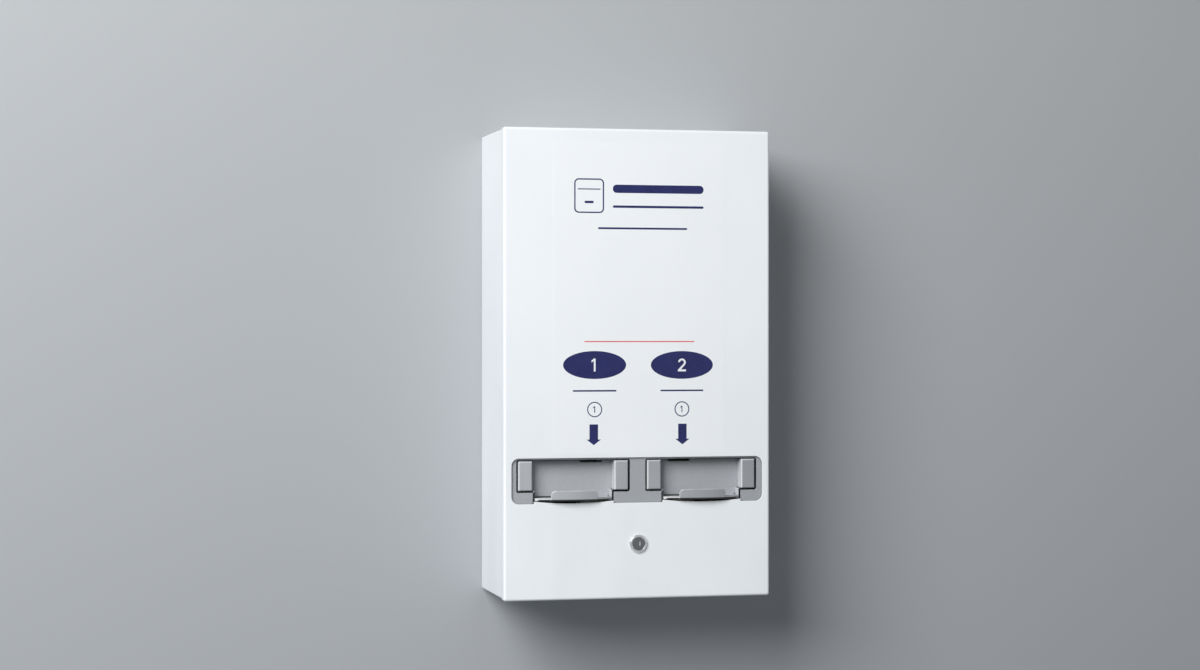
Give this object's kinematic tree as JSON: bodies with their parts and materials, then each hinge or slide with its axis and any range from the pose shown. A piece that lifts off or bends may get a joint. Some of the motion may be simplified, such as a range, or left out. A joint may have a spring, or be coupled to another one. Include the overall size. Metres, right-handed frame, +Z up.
{
  "type": "sanitary napkin vending machine",
  "caption": "Wall-mounted sheet-metal vending cabinet with a lift-up locked cover and coin-operated pull drawers that each dispense one napkin pack.",
  "frame": {"origin": "centre of the four wall holes on the back face", "axes": "+Y into the wall, -Y is the front, +Z up, +X to the right seen from the front"},
  "size_m": [0.35, 0.17, 0.6],
  "materials": {
    "white_powder_coat": "white powder coat with fine orange peel",
    "grey_moulding": "grey moulded plastic, fine spark-eroded texture",
    "zinc_plated_sheet": "zinc-plated sheet steel",
    "hinge_steel": "bright steel piano hinge",
    "fastener_steel": "zinc-plated fasteners",
    "runner_nylon": "natural nylon",
    "cast_weight": "cast, dark coated",
    "pawl_steel": "blanked steel",
    "chrome_lock": "polished chrome",
    "dark_plug": "dark satin lock plug",
    "navy_print": "navy screen print on the coat",
    "red_print": "red screen print on the coat",
    "white_print": "white screen print on the navy ovals",
    "label_film": "clear film label on the coat"
  },
  "bodies": {
    "cabinet": {"case_shell": "white_powder_coat", "hinge_leaf_case": "hinge_steel", "hinge_pin": "hinge_steel", "column_rail_upper": "zinc_plated_sheet", "column_rail_lower": "zinc_plated_sheet", "mechanism_shelf": "zinc_plated_sheet", "shelf_angles": "zinc_plated_sheet", "shelf_screws": "fastener_steel", "cash_box": "zinc_plated_sheet", "strike_bracket": "zinc_plated_sheet", "column_left": "zinc_plated_sheet", "drawer_frame_left": "zinc_plated_sheet", "runners_left": "runner_nylon", "pawl_pin_left": "fastener_steel", "coin_chute_left": "zinc_plated_sheet", "column_right": "zinc_plated_sheet", "drawer_frame_right": "zinc_plated_sheet", "runners_right": "runner_nylon", "pawl_pin_right": "fastener_steel", "coin_chute_right": "zinc_plated_sheet"},
    "cover": {"cover_shell": "white_powder_coat", "hinge_leaf_cover": "hinge_steel", "bezel": "grey_moulding", "bezel_clips": "fastener_steel", "lock_body": "chrome_lock", "lock_nut": "fastener_steel"},
    "lock_plug": {"lock_plug": "dark_plug", "lock_cam": "pawl_steel", "cam_screw": "fastener_steel"},
    "drawer_left": {"drawer_fascia_left": "grey_moulding", "drawer_tray_left": "zinc_plated_sheet"},
    "pawl_left": {"coin_pawl_left": "pawl_steel", "pawl_weight_left": "cast_weight"},
    "follower_left": {"follower_weight_left": "cast_weight"},
    "drawer_right": {"drawer_fascia_right": "grey_moulding", "drawer_tray_right": "zinc_plated_sheet"},
    "pawl_right": {"coin_pawl_right": "pawl_steel", "pawl_weight_right": "cast_weight"},
    "follower_right": {"follower_weight_right": "cast_weight"}
  },
  "joints": [
    {"name": "cover_hinge", "type": "hinge", "parent": "cabinet", "child": "cover", "pos_m": [0, -0.1448, 0.2963], "axis": [-1, 0, 0], "range_deg": [0, 90]},
    {"name": "lock_turn", "type": "hinge", "parent": "cover", "child": "lock_plug", "pos_m": [0, -0.15, -0.23], "axis": [0, 1, 0], "range_deg": [0, 90]},
    {"name": "drawer_left_slide", "type": "slide", "parent": "cabinet", "child": "drawer_left", "axis": [0, -1, 0], "range_m": [0, 0.056]},
    {"name": "pawl_left_pivot", "type": "hinge", "parent": "cabinet", "child": "pawl_left", "pos_m": [-0.0582, -0.0952, -0.18], "axis": [1, 0, 0], "range_deg": [-6, 0]},
    {"name": "follower_left_lift", "type": "slide", "parent": "cabinet", "child": "follower_left", "axis": [0, 0, 1], "range_m": [0, 0.38]},
    {"name": "drawer_right_slide", "type": "slide", "parent": "cabinet", "child": "drawer_right", "axis": [0, -1, 0], "range_m": [0, 0.056]},
    {"name": "pawl_right_pivot", "type": "hinge", "parent": "cabinet", "child": "pawl_right", "pos_m": [0.0582, -0.0952, -0.18], "axis": [1, 0, 0], "range_deg": [-6, 0]},
    {"name": "follower_right_lift", "type": "slide", "parent": "cabinet", "child": "follower_right", "axis": [0, 0, 1], "range_m": [0, 0.38]}
  ]
}
